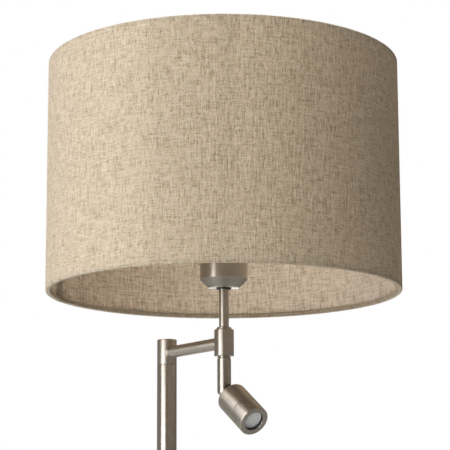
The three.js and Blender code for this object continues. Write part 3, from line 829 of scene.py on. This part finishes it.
def build_bulb():
    low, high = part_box("bulb_globe")
    neck = 12.6 * MM
    bulge = 30 * MM
    heart = high.z - bulge                            # the centre of the round top
    flank_degrees = -21.5                             # where the flank meets the round top, seen from there
    flank_radius = bulge * 0.93
    flank_height = heart - 11 * MM - low.z
    wall = 1 * MM
    steps = 24

    def side(offset):
        """Neck, straight flank and round top of a pear-shaped bulb."""
        points = []
        for k in range(steps + 1):
            share = k / steps
            r = neck + (flank_radius - neck) * ease(share)
            points.append((r - offset, low.z + flank_height * share, 0))
        for k in range(1, steps):
            angle = math.radians(flank_degrees + (90 - flank_degrees) * k / steps)
            points.append(((bulge - offset) * math.cos(angle), heart + (bulge - offset) * math.sin(angle), 0))
        return points

    outline = [*side(0), (0, high.z, 0), (0, high.z - wall, 0), *reversed(side(wall))]
    finished(on_stem(turned("bulb_globe_fine", outline, 96)), "bulb_globe", "arm")

    low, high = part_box("bulb_cap")
    outline = [
        (0, low.z, 0), (5 * MM, low.z, 0.3 * MM), (6.6 * MM, low.z + 2 * MM, 0.3 * MM),
        (neck, low.z + 4.5 * MM, 1 * MM),
        *thread_outline(13.2 * MM, 0.9 * MM, low.z + 6 * MM, 3.6 * MM, 11, 0.6 * MM),
        (13 * MM, high.z, 0.3 * MM), (0, high.z, 0)]
    finished(on_stem(turned("bulb_cap_fine", outline, 72, 3)), "bulb_cap", "arm")


# ---------------------------------------------------------------- shade
SEAM_ANGLE = VIEW_AZIMUTH + math.radians(161)     # where the linen overlaps, at the back left


def cloth(name, path, overlap, lift):
    """A sheet once round the stem and a little more, where it lies lift outside itself.

    path holds (radius, height) points across the sheet. UV is in metres of cloth."""
    form = bmesh.new()
    uv = form.loops.layers.uv.new("cloth")
    lengths = [0.0]
    for a, b in zip(path, path[1:]):
        lengths.append(lengths[-1] + (b - a).length)
    sides = 360
    total = 2 * math.pi + overlap / SHADE_RADIUS
    climb = 0.01                                      # radians in which it rises onto itself
    columns = []
    for k in range(sides + 1):
        turn = total * k / sides
        lifted = lift * min(1, max(0, (turn - 2 * math.pi + climb) / climb))
        cosine, sine = math.cos(SEAM_ANGLE + turn), math.sin(SEAM_ANGLE + turn)
        columns.append([form.verts.new(((p.x + lifted) * cosine, (p.x + lifted) * sine, p.y)) for p in path])
    for k in range(sides):
        for i in range(len(path) - 1):
            corners = ((k, i), (k + 1, i), (k + 1, i + 1), (k, i + 1))
            face = form.faces.new([columns[column][row] for column, row in corners])
            for loop, (column, row) in zip(face.loops, corners):
                loop[uv].uv = (SHADE_RADIUS * total * column / sides, lengths[row])
    mesh = bpy.data.meshes.new(name)
    form.to_mesh(mesh)
    form.free()
    mesh.shade_smooth()
    return add_object(name, mesh)


def build_shade():
    wrap = WIRE + 0.5 * MM                            # the cloth round the ring's wire
    corner = 1.5 * MM
    skin = SHADE_RADIUS - 0.01 * MM
    hem = 5.5 * MM                                    # how far the edge is turned up inside
    hem_radius = LINER_RADIUS - 1.3 * MM

    def edge(end, side):
        """From the outer skin, under the edge, round the ring's wire and up on the liner.

        side is -1 at the lower edge."""
        points = []

        def quarter(x, z, size, first, steps):
            for k in range(steps + 1):
                angle = math.radians(first + 90 * k / steps)
                points.append(Vector((x + size * math.cos(angle), z + side * size * math.sin(angle))))

        quarter(skin - corner, end - side * corner, corner, 0, 6)
        quarter(RING_RADIUS, end - side * RING_INSET, wrap, 90, 8)
        last = points[-1]
        for share in levels(0, 1, 6)[1:]:
            x = last.x + (hem_radius - last.x) * ease(share)
            points.append(Vector((x, last.y - side * (hem - RING_INSET) * share)))
        return points

    wall = [Vector((skin, z)) for z in levels(SHADE_LOW + 3 * MM, SHADE_HIGH - 3 * MM)[1:-1]]
    path = [*reversed(edge(SHADE_LOW, -1)), *wall, *edge(SHADE_HIGH, 1)]
    overlap = 20 * MM
    layer = 0.35 * MM
    around_it = 2 * math.pi * SHADE_RADIUS + overlap
    across = sum((b - a).length for a, b in zip(path, path[1:]))
    cover = cloth("shade_cover_linen", path, overlap, layer)
    cover.data.transform(Matrix.Translation(STEM))
    finished(cover, "shade_cover", "arm", linen(
        "linen_outside", (0.34, 0.26, 0.155), (0.755, 0.642, 0.48), (0.96, 0.885, 0.75),
        around_it, across, overlap, OUTSIDE_DOUBLE_SHADE, turned_in=9 * MM, hem=15 * MM))

    inner = LINER_RADIUS - 0.6 * MM
    path = [Vector((inner, z)) for z in levels(SHADE_LOW + 4 * MM, SHADE_HIGH - 4 * MM)]
    liner = cloth("shade_liner_linen", path, overlap, -layer)
    liner.data.transform(Matrix.Translation(STEM))
    height = path[-1].y - path[0].y
    finished(liner, "shade_liner", "arm", linen(
        "linen_inside", (0.36, 0.29, 0.20), (0.77, 0.665, 0.535), (0.96, 0.89, 0.79),
        around_it, height, overlap, INSIDE_LAP_SHADE, slubs=1.6))


def wire_ring(name, z):
    steps = 16
    angles = [2 * math.pi * k / steps for k in range(steps)]
    outline = [(RING_RADIUS + WIRE * math.cos(a), z + WIRE * math.sin(a), 0) for a in angles]
    return turned(name, outline, 240)


def build_shade_frame():
    bottom = wire_ring("shade_bottom_ring_fine", SHADE_LOW + RING_INSET)
    finished(on_stem(bottom), "shade_bottom_ring", "arm")

    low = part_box("shade_top_frame")[0].z
    thickness = 2.2 * MM
    hub_hole = 20 * MM
    hub_radius = 29 * MM
    hub = turned("shade_top_frame_fine", ring_outline(
        hub_hole, hub_radius, low, low + thickness, 0.6 * MM), 96)
    ring_z = SHADE_HIGH - RING_INSET
    hub.data = joined(hub, wire_ring("ring", ring_z))
    start = Vector((hub_radius - 1.5 * MM, 0, low + thickness / 2))
    reach = Vector((RING_RADIUS, 0, ring_z)) - start
    lean = reach.to_track_quat("Z", "Y").to_matrix().to_4x4()
    spokes = 3
    for k in range(spokes):
        spoke = column("spoke", 1.8 * MM, 0, reach.length, 24)
        turn = Matrix.Rotation(2 * math.pi * k / spokes, 4, "Z")
        spoke.matrix_world = turn @ Matrix.Translation(start) @ lean
        hub.data = joined(hub, spoke)
    smooth(hub.data)
    finished(on_stem(hub), "shade_top_frame", "arm")


# ---------------------------------------------------------------- lower stem
def build_lower_stem():
    low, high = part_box("neck_ring")
    neck = turned("neck_ring_fine", ring_outline(
        NIPPLE_HOLE, radius("neck_ring"), low.z, high.z, 0.5 * MM), 96)
    finished(on_stem(neck), "neck_ring", "spot_stem")

    low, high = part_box("lower_stem")
    outer = radius("lower_stem")
    hole_end = high.z - 12 * MM
    stem = turned("lower_stem_fine", [
        (0, low.z, 0), (outer, low.z, 3.4 * MM), (outer, high.z, 0.7 * MM), (NIPPLE_HOLE, high.z, 0.2 * MM),
        (NIPPLE_HOLE, hole_end, 0), (0, hole_end, 0)], 128, 8)
    half_slot = 3.3 * MM
    slot_top = PIVOT.z + 5 * MM
    slot = block("cutter", (-outer - MM, -half_slot, low.z - MM), (outer + MM, half_slot, slot_top))
    finished(on_stem(combine(stem, slot)), "lower_stem", "spot_stem")

    reach = radius("pivot_pin")
    pin = turned("pivot_pin_fine", [
        (0, -reach, 0), (PIN_RADIUS, -reach, 0.5 * MM), (PIN_RADIUS, reach, 0.5 * MM), (0, reach, 0)], 48)
    pin.data.transform(Matrix.Translation(PIVOT) @ Matrix.Rotation(math.pi / 2, 4, "X"))
    finished(pin, "pivot_pin", "spot_stem")


# ---------------------------------------------------------------- spot
def build_spot():
    """Turned about its own Z from the pivot, then laid along the spot's axis."""
    place = Matrix.Translation(PIVOT) @ Matrix.Rotation(math.atan2(SPOT_AXIS.x, SPOT_AXIS.z), 4, "Y")
    outer = radius("spot_bezel")
    bore = outer - 2 * MM
    rear, seam = along_spot("spot_body")
    front = along_spot("spot_bezel")[1]
    groove = 0.22 * MM                                # half the seam between body and bezel
    seam_edge = 0.35 * MM

    def put(thing, node):
        thing.matrix_world = place
        finished(thing, node, "spot_head")

    half_plate = 3 * MM
    eye = 4.2 * MM
    stub = 4.6 * MM
    across = Matrix.Rotation(math.pi / 2, 4, "X")
    tongue = column("spot_tongue_fine", eye, -half_plate, half_plate, 96)
    tongue.data.transform(across)
    combine(tongue, block("blade", (-eye, -half_plate, 0), (eye, half_plate, rear - 2.5 * MM)), "UNION")
    combine(tongue, column("stub", stub, rear - 3.5 * MM, rear + 7 * MM, 96), "UNION")
    hole = column("cutter", PIN_RADIUS + GAP, -2 * half_plate, 2 * half_plate, 48)
    hole.data.transform(across)
    combine(tongue, hole)
    round_edges(tongue, 0.3 * MM)
    put(tongue, "spot_tongue")

    rear_hole = stub + GAP
    rear_wall = rear + 3 * MM
    body = turned("spot_body_fine", [
        (rear_hole, rear, 0.2 * MM), (outer, rear, 2.6 * MM), (outer, seam - groove, seam_edge),
        (bore, seam - groove, 0), (bore, rear_wall, 0), (rear_hole, rear_wall, 0)], 160, 8)
    put(body, "spot_body")

    skirt = bore - GAP
    skirt_end = seam - 6 * MM
    inside = skirt - 1.5 * MM
    lens_hole = 11.3 * MM
    rim_back = front - 4.1 * MM
    bezel = turned("spot_bezel_fine", [
        (inside, skirt_end, 0), (skirt, skirt_end, 0), (skirt, seam + groove, 0),
        (outer, seam + groove, seam_edge), (outer, front, 0.9 * MM),
        (lens_hole, front, 0.5 * MM), (lens_hole, rim_back, 0), (inside, rim_back, 0)], 160)
    put(bezel, "spot_bezel")
    # painted shade on the bezel's front face
    shade_faces(bezel, Vector((0, 0, 1)), 0.9, 2)

    # A black sleeve in the lens hole: a guessed black ring, which also stands in for the recess wall's shade,
    # painted black.
    recess_shade_sleeve = turned("lens_recess_ring_fine", ring_outline(
        lens_hole - 0.6 * MM, lens_hole - 0.05 * MM, rim_back, front - MM, 0.15 * MM), 128)
    recess_shade_sleeve.matrix_world = place
    recess_shade_sleeve.data.materials.append(LOOKS["black_plastic"])
    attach(recess_shade_sleeve, "spot_head")

    lens_front = rim_back - GAP
    lens_back = lens_front - 3 * MM
    lens_radius = inside - GAP
    lens = turned("spot_lens_fine", [
        (0, lens_back, 0), (lens_radius, lens_back, 0.2 * MM), (lens_radius, lens_front, 0.2 * MM),
        (11 * MM, lens_front, 0.5 * MM), (9.5 * MM, lens_front - 0.6 * MM, 0.5 * MM),
        (0, lens_front - 0.35 * MM, 0)], 128)
    put(lens, "spot_lens")


# ---------------------------------------------------------------- the rest of the CAD
def finish_hidden():
    """Every CAD node that still shows gets its own procedural finish."""
    for node, thing in frame["nodes"].items():
        if not thing.hide_render:
            thing.data.materials.clear()
            thing.data.materials.append(LOOKS[SLOTS[node]])


add_camera()
add_studio()
build_base()
build_pole()
build_arm()
build_stem()
build_lampholder()
build_bulb()
build_shade_frame()
build_shade()
build_lower_stem()
build_spot()
finish_hidden()
